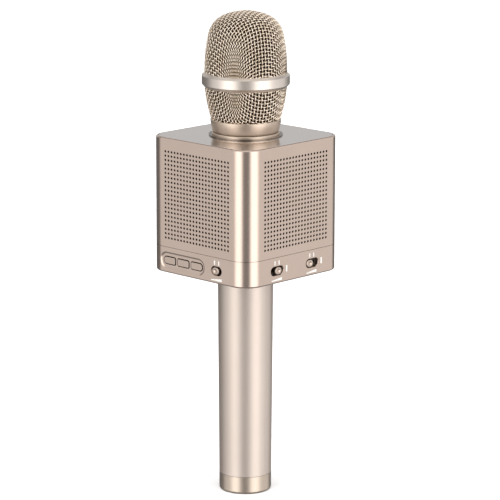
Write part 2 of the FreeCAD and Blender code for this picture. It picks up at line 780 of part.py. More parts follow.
def head_solid(offset, foot):
    """Full body of the head, set in from its outer skin by the offset.

    Below the band it is one shallow arc; above it, a side arc, a tighter knuckle arc
    and a flat crown arc meet without a corner."""
    lower_centre_r = LOWER_WIDEST_R - LOWER_ARC_R
    lower_r = LOWER_ARC_R - offset

    def lower(z):
        return lower_centre_r + math.sqrt(lower_r ** 2 - (z - LOWER_ARC_Z) ** 2)

    side_centre = (DOME_R - DOME_SIDE_R, DOME_SIDE_Z)
    join = on_circle(side_centre, DOME_SIDE_R, DOME_SIDE_DEG)
    back = on_circle((0, 0), DOME_KNUCKLE_R, DOME_SIDE_DEG)
    knuckle_centre = (join[0] - back[0], join[1] - back[1])
    a = knuckle_centre[0]
    b = knuckle_centre[1] - DOME_TOP
    crown_r = (DOME_KNUCKLE_R ** 2 - a * a - b * b) / (2 * (b + DOME_KNUCKLE_R))
    crown_centre = (0, DOME_TOP - crown_r)
    crown_deg = math.degrees(math.atan2(knuckle_centre[1] - crown_centre[1], a))
    middle_deg = (DOME_SIDE_DEG + crown_deg) / 2
    side_r = DOME_SIDE_R - offset
    knuckle_r = DOME_KNUCKLE_R - offset
    crown_r -= offset
    middle_z = (foot + BAND_Z) / 2
    return lathe([
        (0, foot), (lower(foot), foot),
        ((lower(middle_z), middle_z), (lower(BAND_Z), BAND_Z)),
        (side_centre[0] + side_r, DOME_SIDE_Z),
        (on_circle(side_centre, side_r, DOME_SIDE_DEG / 2),
         on_circle(side_centre, side_r, DOME_SIDE_DEG)),
        (on_circle(knuckle_centre, knuckle_r, middle_deg),
         on_circle(knuckle_centre, knuckle_r, crown_deg)),
        (on_circle(crown_centre, crown_r, (crown_deg + 90) / 2), (0, DOME_TOP - offset))])


def mesh_shell(z0, z1):
    """Part of the head's skin between two heights."""
    outer = head_solid(0, COLLAR_TOP)
    skin = outer.cut(head_solid(MESH_T, COLLAR_TOP - 1))
    return skin.common(rod(BAND_R, z0, z1))


def skirt(radius, z0, z1):
    return rod(radius, z0, z1).cut(rod(radius - SKIRT_T, z0, z1))


def grille_mesh_lower():
    """Basket below the band, with a skirt in the collar and one in the band."""
    band_skirt = skirt(BAND_BORE_R - SKIRT_PLAY, BAND_Z - 0.8, BAND_Z + 4)
    collar_skirt = skirt(LOWER_SKIRT_R - SKIRT_PLAY, COLLAR_TOP - 1.5, COLLAR_TOP + 0.5)
    return mesh_shell(COLLAR_TOP, BAND_Z).multiFuse([band_skirt, collar_skirt])


def grille_mesh_upper():
    """Dome above the band, with a skirt in the band."""
    band_skirt = skirt(BAND_BORE_R - SKIRT_PLAY, BAND_TOP - 4, BAND_TOP + 0.8)
    return mesh_shell(BAND_TOP, DOME_TOP + 1).fuse(band_skirt)


def grille_band():
    bevel_low = BAND_Z + BAND_BEVEL
    bevel_high = BAND_TOP - BAND_TOP_BEVEL
    return lathe([(BAND_BORE_R, BAND_Z), (BAND_EDGE_R, BAND_Z), (BAND_R, bevel_low),
                  (BAND_R, bevel_high), (BAND_EDGE_R, BAND_TOP), (BAND_BORE_R, BAND_TOP)])


def windscreen_foam():
    """Foam liner inside the grille."""
    outer = MESH_T + FOAM_GAP + 0.15
    foot = COLLAR_TOP + 1.6
    foam = head_solid(outer, foot).cut(head_solid(outer + FOAM_T, foot - 1))
    clear = BAND_BORE_R - SKIRT_T - FOAM_GAP
    keep = rod(clear, BAND_Z - 2, BAND_TOP + 2)
    ends = [rod(BAND_R, COLLAR_TOP, BAND_Z - 2), rod(BAND_R, BAND_TOP + 2, DOME_TOP)]
    return foam.common(keep.multiFuse(ends))


def capsule_post():
    """Stem on the neck's mouth that holds the capsule up in the head."""
    top = CAPSULE_Z
    plug_r = NECK_BORE_R - 0.05
    return lathe([(3.0, NECK_TOP - 4), (plug_r, NECK_TOP - 4), (plug_r, NECK_TOP),
                  (15.5, NECK_TOP), (15.5, NECK_TOP + 1.2), (6.5, NECK_TOP + 2.2),
                  (6.5, top - 3), (10.0, top - 1.5), (10.0, top), (3.0, top)])


def capsule_mount():
    """Soft cup that cushions the capsule."""
    return lathe([(3.0, CAPSULE_Z), (13.2, CAPSULE_Z), (13.2, CAPSULE_Z + 8),
                  (CAPSULE_R, CAPSULE_Z + 8), (CAPSULE_R, CAPSULE_Z + 1.5),
                  (3.0, CAPSULE_Z + 1.5)])


def mic_capsule():
    """Moving-coil capsule with its recessed front."""
    foot = CAPSULE_Z + 1.5
    top = CAPSULE_Z + 20
    return lathe([(0, foot), (CAPSULE_R, foot), (CAPSULE_R, top - 0.5),
                  (CAPSULE_R - 0.5, top), (CAPSULE_R - 1.5, top),
                  (CAPSULE_R - 1.5, top - 0.8), (0, top - 0.8)])


# ---- assembly ----------------------------------------------------------------------------

SINGLE_PARTS = [
    handle_tube, handle_flange, end_cap, cap_o_ring, negative_contact, negative_spring,
    battery_cell, battery_sleeve, contact_holder, positive_contact,
    base_shell, speaker_housing, top_plate, housing_screws, handle_screws,
    speaker_surrounds, dust_caps, voice_coils, speaker_gaskets, dust_cloths,
    main_pcb, pcb_screws, pcb_components, button_board, tact_switches, slider_bodies,
    usb_port, audio_jack, status_led,
    neck_ring, neck, neck_screws, grille_collar, grille_mesh_lower, grille_band, grille_mesh_upper,
    windscreen_foam, mic_capsule, capsule_mount, capsule_post,
]


def main():
    os.makedirs("parts", exist_ok=True)
    for make in SINGLE_PARTS:
        save(make.__name__, make())
    for side in SIDES:
        save("speaker_frame_" + side, speaker_frame(side))
        save("speaker_magnet_" + side, speaker_magnet(side))
        save("speaker_cone_" + side, speaker_cone(side))
    for name, x in zip(("button_left", "button_middle", "button_right"), button_places()):
        save(name, button(x))
    for name in SLIDERS:
        save(name, slider_knob(name))


main()
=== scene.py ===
import json
import math

import bpy
import numpy as np
from mathutils import Matrix, Vector, noise


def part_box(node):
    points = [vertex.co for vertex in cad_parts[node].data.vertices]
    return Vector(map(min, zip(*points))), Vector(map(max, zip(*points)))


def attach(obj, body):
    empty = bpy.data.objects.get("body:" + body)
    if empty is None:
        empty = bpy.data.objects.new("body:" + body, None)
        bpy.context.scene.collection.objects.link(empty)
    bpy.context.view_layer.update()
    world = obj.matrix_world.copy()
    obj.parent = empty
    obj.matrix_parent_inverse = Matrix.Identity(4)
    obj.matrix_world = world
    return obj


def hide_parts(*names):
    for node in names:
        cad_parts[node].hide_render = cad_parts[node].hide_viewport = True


# Karaoke microphone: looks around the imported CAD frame. Metres, +Z up.
# The front is the face towards -Y, the right side is the face towards +X.

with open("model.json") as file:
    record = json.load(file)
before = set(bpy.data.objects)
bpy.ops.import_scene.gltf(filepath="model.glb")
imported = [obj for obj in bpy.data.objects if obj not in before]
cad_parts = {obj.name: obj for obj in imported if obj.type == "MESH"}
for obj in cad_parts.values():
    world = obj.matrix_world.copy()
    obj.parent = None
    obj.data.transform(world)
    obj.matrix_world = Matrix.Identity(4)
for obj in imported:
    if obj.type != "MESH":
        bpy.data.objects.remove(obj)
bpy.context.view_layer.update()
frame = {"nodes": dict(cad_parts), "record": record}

MM = 0.001
TINY = 1e-9

# ---- driving dimensions ------------------------------------------------------------------

# cube
CORNER_R = 12 * MM
WALL = 2 * MM
RIM_T = 1.4 * MM
PLATE_T = 2 * MM
FOOT_BREAK = 0.05 * MM
EDGE_R = 1.1 * MM
EDGE_STEPS = 7
HOLE_ROWS = 21
HOLE_PITCH = 2.52 * MM
HOLE_R = 0.65 * MM
HOLE_CHAMFER = 0.1 * MM
HOLE_SIDES = 16
HOLES_Z = 178.4 * MM
CORNER_STEPS = 24

# outline of the grille: dome, and basket below it
SIDE_ARC_R = 96.4 * MM
SIDE_ARC_Z = 249.47 * MM
SIDE_ARC_ANGLE = math.radians(12.36)
KNUCKLE_R = 14.9 * MM
LOWER_ARC_R = 81 * MM
LOWER_ARC_Z = 246 * MM
LOWER_WIDEST_R = 24 * MM
LOWER_ARC_CENTRE = LOWER_WIDEST_R - LOWER_ARC_R
BASKET_KNUCKLE_R = 7 * MM
DOME_ARC_STEPS = 160
DOME_SIDE_STEPS = 120
DOME_STRAIGHT_STEPS = 40
BASKET_SIDE_STEPS = 160
BASKET_KNUCKLE_STEPS = 80
BASKET_FLOOR_STEPS = 60

# woven wire: its cloth, how the crossings are looked for, how far it reaches into the
# band and the collar, and how much painted shade darkens it where it closes up
WIRE_R = 0.36 * MM
WIRE_SIDES = 7
WIRE_STEPS = 3
MESH_PITCH = 2.0 * MM
LEAST_SPREAD = 0.1 * MM
NEAREST_ROUNDS = 12
CROSSING_ROUNDS = 8
SPARE_CROSSINGS = 12
CLOTH_TURN = math.radians(-16.7)
CLAMPED = 3.5 * MM
SPARE_END = 1 * MM
IN_COLLAR = 0.6 * MM
PACKED_SHADE = 1.1

# foam windscreen: its section, its roughness and its padding
FOAM_INSET = 1.55 * MM
FOAM_T = 3 * MM
FOAM_STEP = 0.75 * MM
FOAM_ROUGH = 0.16 * MM
FOAM_SUNK = 0.75
FOAM_UPWARD = 0.4
FOAM_FINE_SCALE = 2.3
FOAM_FINE_SHARE = 0.5
FOAM_SIDE_STEPS = 80
FOAM_CROWN_GAP = 0.3 * MM
FOAM_UNDER_DOME = 3 * MM

# printed marks round each slide control: where its middle is along the face and in
# height, and how far each mark is from there
MARK_T = 0.04 * MM
MARK_CENTRES = {"front": [16.2 * MM], "right": [-15.4 * MM, 13.4 * MM]}
MARK_Z = 140 * MM
WEDGE_ENDS = (-4.4 * MM, 4.0 * MM)
WEDGE_FOOT = -5.7 * MM
WEDGE_TOPS = (-5.2 * MM, -4.2 * MM)
STROKES_AT = [(-1.7 * MM, 4.7 * MM), (1.6 * MM, 4.7 * MM)]
STROKE_SIZE = (0.8 * MM, 2.4 * MM)
LONG_STROKE_AT = (7.9 * MM, 0.3 * MM)
LONG_STROKE_SIZE = (1.1 * MM, 3.6 * MM)

# buttons and knobs: depths behind the cube's face where the lacquer begins and is full; deeper
# in, the sides are bare dark moulding that also serves as painted shade in the gaps
LACQUER_BEGINS = 0.36 * MM
LACQUER_FULL = 0.3 * MM

# camera
CAMERA_TARGET_Z = 0.172
CAMERA_DISTANCE = 1.6467
CAMERA_AZIMUTH = math.radians(44.327)
CAMERA_ELEVATION = math.radians(11.671)
CAMERA_AIM_ASIDE = math.radians(0.091)
CAMERA_PITCH = math.radians(12.642)
CAMERA_ROLL = math.radians(0.098)
CAMERA_LENS_MM = 205.2
SENSOR_MM = 36.0

# Light from all round. The walls are soft boxes in front and pale walls beside them: the
# middle and the half width as angles from the camera's side, half the width of the soft
# edge, and the brightness. Heights are the sine of the elevation, and a reach is the part
# of a direction that points to the camera's side. Each pair of numbers is where a light
# starts and where it is full.
ROOM_LIGHT = 0.19
FLOOR_LIGHT = 0.32
FLOOR_HEIGHTS = (-0.3, -0.75)
WALLS = [(-66, 41, 8, 0.68), (74, 52, 10, 0.77), (-43, 20, 10, 1.27), (43, 22, 10, 1.27),
         (0, 30, 20, 0.13)]
WALL_TOP_HEIGHTS = (0.75, 0.4)
WALL_FOOT_HEIGHTS = (-0.62, -0.36)
BACK_WALL_LIGHT = 0.46
BACK_WALL_ANGLES = (math.radians(100), math.radians(150))
BACK_WALL_HEIGHTS = (0.0, 0.08)
OVERHEAD_LIGHT = 0.8
OVERHEAD_HEIGHTS = (0.45, 0.7)
OVERHEAD_REACH = (-0.6, -0.3)
KEY_LIGHT = 2.2
KEY_LIGHT_WIDTH = math.radians(80)
KEY_LIGHT_TILT = (math.radians(12), math.radians(8), 0)
FLOOR_REACH = 12.0


# ---- material helpers --------------------------------------------------------------------

class Nodes:
    """Short forms for the nodes of one material or world."""

    def __init__(self, owner):
        owner.use_nodes = True
        self.tree = owner.node_tree

    def node(self, kind, **settings):
        made = self.tree.nodes.new(kind)
        for key, value in settings.items():
            setattr(made, key, value)
        return made

    def wire(self, source, target):
        self.tree.links.new(source, target)

    def split(self, vector):
        """The X, Y and Z sockets of a vector."""
        made = self.node("ShaderNodeSeparateXYZ")
        self.wire(vector, made.inputs[0])
        return made.outputs["X"], made.outputs["Y"], made.outputs["Z"]

    def maths(self, operation, *values):
        made = self.node("ShaderNodeMath", operation=operation)
        for socket, value in zip(made.inputs, values):
            if isinstance(value, (int, float)):
                socket.default_value = value
            else:
                self.wire(value, socket)
        return made.outputs[0]

    def spread(self, value, low, high, to_low=0.0, to_high=1.0, curve="LINEAR"):
        """Value mapped from one range to another, and held at its ends."""
        made = self.node("ShaderNodeMapRange", interpolation_type=curve)
        for socket, number in (("From Min", low), ("From Max", high),
                               ("To Min", to_low), ("To Max", to_high)):
            made.inputs[socket].default_value = number
        self.wire(value, made.inputs["Value"])
        return made.outputs["Result"]

    def fade(self, value, start, full, from_level=0.0, to_level=1.0):
        """Soft step between two levels, as the value goes up or down from start to full."""
        if start > full:
            start, full, from_level, to_level = full, start, to_level, from_level
        return self.spread(value, start, full, from_level, to_level, "SMOOTHSTEP")


class Finish(Nodes):
    """A Principled material with the few node recipes that the finishes are made from."""

    def __init__(self, name, **constants):
        self.material = bpy.data.materials.new(name)
        super().__init__(self.material)
        self.shader = self.tree.nodes["Principled BSDF"]
        self.height = None
        for socket, value in constants.items():
            self.shader.inputs[socket.replace("_", " ")].default_value = value
        self.place = self.node("ShaderNodeTexCoord").outputs["Object"]

    def stretched(self, x, y, z):
        """Object position with each axis scaled on its own."""
        mapping = self.node("ShaderNodeMapping")
        mapping.inputs["Scale"].default_value = (x, y, z)
        self.wire(self.place, mapping.inputs["Vector"])
        return mapping.outputs["Vector"]

    def noise(self, grains_per_metre, detail=3.0, roughness=0.55, vector=None):
        made = self.node("ShaderNodeTexNoise")
        made.inputs["Scale"].default_value = grains_per_metre
        made.inputs["Detail"].default_value = detail
        made.inputs["Roughness"].default_value = roughness
        self.wire(vector or self.place, made.inputs["Vector"])
        return made.outputs["Fac"]

    def cells(self, cells_per_metre, feature="F1", vector=None):
        made = self.node("ShaderNodeTexVoronoi", feature=feature)
        made.inputs["Scale"].default_value = cells_per_metre
        self.wire(vector or self.place, made.inputs["Vector"])
        return made.outputs["Distance"]

    def blend(self, share, first, second):
        """Colour between two colours or sockets."""
        made = self.node("ShaderNodeMix", data_type="RGBA")
        self.wire(share, made.inputs["Factor"])
        for name, value in (("A", first), ("B", second)):
            socket = [s for s in made.inputs if s.name == name and s.type == "RGBA"][0]
            if isinstance(value, tuple):
                socket.default_value = (*value, 1.0)
            else:
                self.wire(value, socket)
        return [s for s in made.outputs if s.type == "RGBA"][0]

    def colour(self, source):
        self.wire(source, self.shader.inputs["Base Color"])

    def roughness(self, source):
        self.wire(source, self.shader.inputs["Roughness"])

    def relief(self, source, depth):
        """Adds bump of a real depth on top of the relief so far."""
        bump = self.node("ShaderNodeBump")
        bump.inputs["Strength"].default_value = 1.0
        bump.inputs["Distance"].default_value = depth
        self.wire(source, bump.inputs["Height"])
        if self.height:
            self.wire(self.height, bump.inputs["Normal"])
        self.height = bump.outputs["Normal"]
        self.wire(self.height, self.shader.inputs["Normal"])


def lacquer(name, light, dark, rough, coat):
    """Satin metallic lacquer: fine flake, faint orange peel, soft wear and scuffs."""
    finish = Finish(name, Metallic=1.0, Coat_Weight=coat, Coat_Roughness=0.12)
    lacquer_grain(finish, light, dark, rough)
    return finish.material


def lacquer_grain(finish, light, dark, rough):
    """Colour, gloss and relief of the lacquer. Returns the colour, to blend it further."""
    flake = finish.noise(5200, 2.0, 0.6)
    cloud = finish.noise(38, 4.0)
    tone = finish.maths("ADD", finish.spread(flake, 0.35, 0.65, 0.0, 0.6),
                        finish.spread(cloud, 0.35, 0.7, 0.0, 0.4))
    scuff = finish.spread(finish.noise(140, 6.0, 0.65, finish.stretched(1, 1, 0.25)),
                          0.62, 0.8)
    painted = finish.blend(scuff, finish.blend(tone, dark, light), light)
    finish.colour(painted)
    satin = finish.spread(flake, 0.3, 0.7, rough - 0.03, rough + 0.03)
    finish.roughness(finish.maths("ADD", satin, finish.maths("MULTIPLY", scuff, 0.08)))
    finish.relief(finish.noise(420, 2.0), 0.004 * MM)
    finish.relief(flake, 0.0012 * MM)
    return painted


def capped_plastic():
    """Dark moulding whose visible face carries the metallic lacquer. Its near-black sides are
    the bare moulding and also painted shade in the gaps round the buttons and knobs.
    """
    finish = Finish("control_caps", Coat_Weight=0.3, Coat_Roughness=0.12)
    painted = lacquer_grain(finish, (0.64, 0.52, 0.44), (0.57, 0.45, 0.375), 0.30)
    x, y, _ = finish.split(finish.place)
    reach = finish.maths("MAXIMUM", finish.maths("ABSOLUTE", x), finish.maths("ABSOLUTE", y))
    cube_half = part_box("speaker_housing")[1].x
    face = finish.spread(reach, cube_half - LACQUER_BEGINS, cube_half - LACQUER_FULL)
    # near-black sides: bare moulding, and also painted shade in the gaps round the controls
    finish.colour(finish.blend(face, (0.02, 0.012, 0.008), painted))
    finish.wire(face, finish.shader.inputs["Metallic"])
    return finish.material


def turned_metal(name, light, dark, rough):
    """Lathe-turned metal: fine rings around the axis, brushed highlights."""
    finish = Finish(name, Metallic=1.0, Anisotropic=0.35, Coat_Weight=0.15,
                    Coat_Roughness=0.1)
    rings = finish.noise(1, 3.0, 0.6, finish.stretched(30, 30, 9000))
    cloud = finish.noise(60, 4.0)
    finish.colour(finish.blend(finish.spread(cloud, 0.35, 0.7), dark, light))
    finish.roughness(finish.spread(rings, 0.3, 0.7, rough - 0.04, rough + 0.05))
    finish.relief(rings, 0.0012 * MM)
    return finish.material


def polished_metal():
    """Polished top plate, with faint wipe marks and fine scratches."""
    finish = Finish("polished_plate", Metallic=1.0)
    cloud = finish.noise(25, 5.0)
    scratch = finish.spread(finish.noise(900, 2.0, 0.5, finish.stretched(1, 0.02, 1)),
                            0.6, 0.75)
    finish.colour(finish.blend(cloud, (0.615, 0.56, 0.535), (0.68, 0.625, 0.595)))
    finish.roughness(finish.maths("ADD", finish.spread(cloud, 0.3, 0.7, 0.10, 0.17),
                                  finish.maths("MULTIPLY", scratch, 0.06)))
    finish.relief(scratch, 0.0006 * MM)
    return finish.material


def wire_metal():
    """Plated wire, bright on top, with painted shade: dark in the hollows and where the wires
    close up.
    """
    finish = Finish("grille_wire", Metallic=1.0)
    grain = finish.noise(2600, 3.0)
    patina = finish.spread(finish.noise(120, 4.0), 0.4, 0.75)
    plated = finish.blend(patina, (0.92, 0.79, 0.66), (0.80, 0.66, 0.50))
    weave_shade = finish.node("ShaderNodeAttribute", attribute_name="weave_shade").outputs["Fac"]
    # painted shade: near-black brown on the sides of the wires facing into the weave and where
    # they close up
    finish.colour(finish.blend(finish.spread(weave_shade, -0.3, 0.55), (0.13, 0.085, 0.045), plated))
    finish.roughness(finish.spread(grain, 0.3, 0.7, 0.16, 0.28))
    finish.relief(grain, 0.003 * MM)
    return finish.material


def open_foam():
    """Open-cell foam: round pores, darker towards their middles as painted shade, with pale
    struts between them.
    """
    finish = Finish("windscreen_foam", Specular_IOR_Level=0.1)
    pores = finish.cells(1500)
    fine = finish.noise(4200, 2.0)
    depth = finish.spread(pores, 0.15, 0.6)
    # painted shade: the pores darken towards their middles
    finish.colour(finish.blend(depth, (0.012, 0.008, 0.004), (0.055, 0.036, 0.02)))
    finish.roughness(finish.spread(fine, 0.3, 0.7, 0.85, 1.0))
    finish.relief(depth, 0.25 * MM)
    finish.relief(fine, 0.05 * MM)
    return finish.material


def moulded(name, light, dark, rough, metallic=0.0, grain=2500, depth=0.01 * MM, **more):
    """Plain surfaces: a fine grain, slow colour drift and uneven gloss."""
    finish = Finish(name, Metallic=metallic, **more)
    fine = finish.noise(grain, 3.0)
    drift = finish.noise(90, 3.0)
    finish.colour(finish.blend(finish.spread(drift, 0.35, 0.65), dark, light))
    finish.roughness(finish.spread(fine, 0.3, 0.7, rough - 0.07, rough + 0.07))
    finish.relief(fine, depth)
    return finish.material


def dust_cloth():
    """Plain-woven black cloth behind the perforations."""
    finish = Finish("dust_cloth", Sheen_Weight=0.2)
    weave = finish.node("ShaderNodeTexWave", bands_direction="DIAGONAL")
    weave.inputs["Scale"].default_value = 900
    finish.wire(finish.place, weave.inputs["Vector"])
    threads = weave.outputs["Fac"]
    finish.colour(finish.blend(threads, (0.006, 0.004, 0.003), (0.020, 0.013, 0.009)))
    finish.roughness(finish.spread(threads, 0.0, 1.0, 0.85, 1.0))
    finish.relief(threads, 0.05 * MM)
    return finish.material


def circuit_board():
    """Green solder mask with paler copper areas under it."""
    finish = Finish("circuit_board", Coat_Weight=0.4, Coat_Roughness=0.2)
    traces = finish.spread(finish.cells(260, "DISTANCE_TO_EDGE"), 0.03, 0.05)
    fine = finish.noise(1800, 2.0)
    finish.colour(finish.blend(traces, (0.02, 0.16, 0.07), (0.01, 0.09, 0.04)))
    finish.roughness(finish.spread(fine, 0.3, 0.7, 0.35, 0.5))
    finish.relief(traces, 0.02 * MM)
    return finish.material


def enamelled_winding():
    """Copper coil: turns of fine enamelled wire."""
    finish = Finish("enamelled_winding", Metallic=1.0)
    turns = finish.noise(1, 1.0, 0.5, finish.stretched(4000, 4000, 4000))
    finish.colour(finish.blend(turns, (0.55, 0.22, 0.10), (0.80, 0.40, 0.22)))
    finish.roughness(finish.spread(turns, 0.3, 0.7, 0.25, 0.4))
    finish.relief(turns, 0.02 * MM)
    return finish.material


def white_print():
    """Screen-printed white ink, slightly thin in places."""
    finish = Finish("white_print")
    worn = finish.noise(1600, 4.0)
    finish.colour(finish.blend(finish.spread(worn, 0.3, 0.6), (0.62, 0.58, 0.54),
                               (0.80, 0.78, 0.75)))
    finish.roughness(finish.spread(worn, 0.3, 0.7, 0.5, 0.65))
    finish.relief(worn, 0.004 * MM)
    return finish.material


def led_lens():
    """Clear lens of the status light, frosted by fine moulding texture."""
    finish = Finish("led_lens", Transmission_Weight=0.6, IOR=1.5)
    frost = finish.noise(3000, 2.0)
    finish.colour(finish.blend(frost, (0.75, 0.82, 0.9), (0.9, 0.94, 1.0)))
    finish.roughness(finish.spread(frost, 0.3, 0.7, 0.1, 0.3))
    finish.relief(frost, 0.004 * MM)
    return finish.material


# nodes whose finish differs in tone or gloss from the rest of their record slot
OWN_FINISH = {"handle_tube": "handle_paint", "end_cap": "cap_paint",
              "grille_collar": "collar_metal", "neck": "collar_metal",
              "neck_ring": "ring_metal"}


def make_materials():
    """Finishes by the name of their record slot, or their own name in OWN_FINISH."""
    return {
        "champagne_paint": lacquer("champagne_paint", (0.645, 0.515, 0.44),
                                   (0.585, 0.46, 0.385), 0.22, 0.3),
        "handle_paint": lacquer("handle_paint", (0.73, 0.63, 0.56), (0.675, 0.575, 0.505),
                                0.48, 0.2),
        "cap_paint": lacquer("cap_paint", (0.635, 0.53, 0.44), (0.575, 0.475, 0.385), 0.34,
                             0.25),
        "control_caps": capped_plastic(),
        "satin_silver": turned_metal("satin_silver", (0.75, 0.675, 0.61),
                                     (0.69, 0.61, 0.545), 0.33),
        "collar_metal": turned_metal("collar_metal", (0.73, 0.61, 0.505),
                                     (0.66, 0.54, 0.43), 0.36),
        "ring_metal": turned_metal("ring_metal", (0.24, 0.19, 0.155), (0.19, 0.15, 0.12), 0.25),
        "polished_plate": polished_metal(),
        "grille_wire": wire_metal(),
        "foam": open_foam(),
        "cloth": dust_cloth(),
        "black_rubber": moulded("black_rubber", (0.05, 0.05, 0.05),
                                (0.025, 0.025, 0.025), 0.8),
        "black_plastic": moulded("black_plastic", (0.055, 0.038, 0.03),
                                 (0.032, 0.021, 0.016), 0.5),
        "paper_cone": moulded("paper_cone", (0.07, 0.068, 0.065), (0.03, 0.03, 0.03),
                              0.85, grain=900, depth=0.06 * MM),
        "zinc_steel": moulded("zinc_steel", (0.66, 0.66, 0.68), (0.5, 0.5, 0.52),
                              0.32, 1.0, 700, 0.004 * MM),
        "spring_steel": moulded("spring_steel", (0.74, 0.73, 0.70), (0.6, 0.6, 0.58),
                                0.22, 1.0, 1500, 0.003 * MM),
        "copper": enamelled_winding(),
        "cell_wrap": moulded("cell_wrap", (0.05, 0.17, 0.42), (0.03, 0.11, 0.30), 0.3,
                             0.0, 500, 0.01 * MM, Coat_Weight=0.5),
        "board": circuit_board(),
        "led_lens": led_lens(),
    }


def paint_frame(materials):
    """Gives every CAD node the finish of its record slot."""
    for subpart in frame["record"]["subparts"]:
        node = frame["nodes"][subpart["node"]]
        finish = OWN_FINISH.get(subpart["node"], subpart["material_slot"])
        for i in range(len(node.data.materials)):
            node.data.materials[i] = materials[finish]


# ---- mesh helpers ------------------------------------------------------------------------

class Patches:
    """Faces that share their points, each with its own corner normals."""

    def __init__(self):
        self.index = {}
        self.points = []
        self.faces = []
        self.normals = []

    def point(self, place):
        """Index of a place, the same for two places within a ten-thousandth of a mm."""
        key = tuple(round(c * 1e7) for c in place)
        if key not in self.index:
            self.index[key] = len(self.points)
            self.points.append(tuple(place))
        return self.index[key]

    def face(self, places, normals):
        self.faces.append([self.point(p) for p in places])
        self.normals.extend(normals)

    def build(self, name, material):
        mesh = bpy.data.meshes.new(name)
        mesh.from_pydata(self.points, [], self.faces)
        mesh.normals_split_custom_set(self.normals)
        return add_piece(name, mesh, material)


def add_piece(name, mesh, material):
    """Object with one material, linked into the scene."""
    thing = bpy.data.objects.new(name, mesh)
    bpy.context.scene.collection.objects.link(thing)
    mesh.materials.append(material)
    return thing


def smooth_piece(name, points, faces, material):
    """Piece shaded smooth all over."""
    mesh = bpy.data.meshes.new(name)
    mesh.from_pydata(points, [], faces)
    mesh.shade_smooth()
    return add_piece(name, mesh, material)


# ---- speaker housing ---------------------------------------------------------------------

def perimeter(half):
    """Columns round the cube, each a place and its outward direction.

    Every face has one at each edge of its cells of holes, and every corner has an arc."""
    columns = []
    first_hole = -HOLE_ROWS / 2 * HOLE_PITCH
    centre = half - CORNER_R
    for side in range(4):
        turn = side * math.pi / 2
        for k in range(HOLE_ROWS + 1):
            columns.append(turned_column(first_hole + k * HOLE_PITCH, -half, 0, -1, turn))
        for k in range(CORNER_STEPS + 1):
            angle = -math.pi / 2 + math.pi / 2 * k / CORNER_STEPS
            out = (math.cos(angle), math.sin(angle))
            columns.append(turned_column(centre + CORNER_R * out[0],
                                         -centre + CORNER_R * out[1], *out, turn))
    return columns


def turned_column(x, y, out_x, out_y, turn):
    """Place and outward direction on one side of the cube, turned to another side."""
    c, s = math.cos(turn), math.sin(turn)
    return (Vector((c * x - s * y, s * x + c * y, 0)),
            Vector((c * out_x - s * out_y, s * out_x + c * out_y, 0)))


def wall_section(foot_z, top_z):
    """Strips of the wall's section: two (depth, z, normal) ends and a row of holes, if any.

    The section runs up the outside, over the rounded rim, and down the inside."""
    first = HOLES_Z - HOLE_ROWS / 2 * HOLE_PITCH
    levels = [first + k * HOLE_PITCH for k in range(HOLE_ROWS + 1)]
    ledge_z = top_z - PLATE_T
    strips = []

    def strip(start, end, start_normal, end_normal=None, row=None):
        strips.append((start, end, start_normal, end_normal or start_normal, row))

    outwards, inwards, upwards = (1, 0), (-1, 0), (0, 1)
    strip((FOOT_BREAK, foot_z), (0, foot_z + FOOT_BREAK), (0.7, -0.7))
    strip((0, foot_z + FOOT_BREAK), (0, first), outwards)
    for row in range(HOLE_ROWS):
        strip((0, levels[row]), (0, levels[row + 1]), outwards, row=row)
    strip((0, levels[-1]), (0, ledge_z), outwards)
    strip((0, ledge_z), (0, top_z - EDGE_R), outwards)
    bends = [math.pi / 2 * k / EDGE_STEPS for k in range(EDGE_STEPS + 1)]
    for low, high in zip(bends, bends[1:]):
        ends = [(EDGE_R * (1 - math.cos(a)), top_z - EDGE_R * (1 - math.sin(a)))
                for a in (low, high)]
        strip(*ends, *[(math.cos(a), math.sin(a)) for a in (low, high)])
    strip((EDGE_R, top_z), (RIM_T, top_z), upwards)
    strip((RIM_T, top_z), (RIM_T, ledge_z), inwards)
    strip((RIM_T, ledge_z), (WALL, ledge_z), upwards)
    strip((WALL, ledge_z), (WALL, levels[-1]), inwards)
    for row in reversed(range(HOLE_ROWS)):
        strip((WALL, levels[row + 1]), (WALL, levels[row]), inwards, row=row)
    strip((WALL, first), (WALL, foot_z), inwards)
    strip((WALL, foot_z), (FOOT_BREAK, foot_z), (0, -1))
    return strips


def perforated_housing(material):
    """Four perforated faces and four rounded corners, as one closed wall."""
    low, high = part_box("speaker_housing")
    columns = perimeter(high.x)
    section = wall_section(low.z, high.z)
    per_side = HOLE_ROWS + 1 + CORNER_STEPS + 1
    patches = Patches()
    up = Vector((0, 0, 1))
    for i, column in enumerate(columns):
        beside = columns[(i + 1) % len(columns)]
        on_face = i % per_side < HOLE_ROWS
        for start, end, start_normal, end_normal, row in section:
            if on_face and row is not None:
                if start[0] == 0:
                    perforation(patches, column, beside, start[1], end[1])
                continue
            corners = [(column, start, start_normal), (beside, start, start_normal),
                       (beside, end, end_normal), (column, end, end_normal)]
            patches.face([at - out * depth + up * z for (at, out), (depth, z), _ in corners],
                         [(out * n_out + up * n_up).normalized()
                          for (_, out), _, (n_out, n_up) in corners])
    return patches.build("speaker_housing_shell", material)


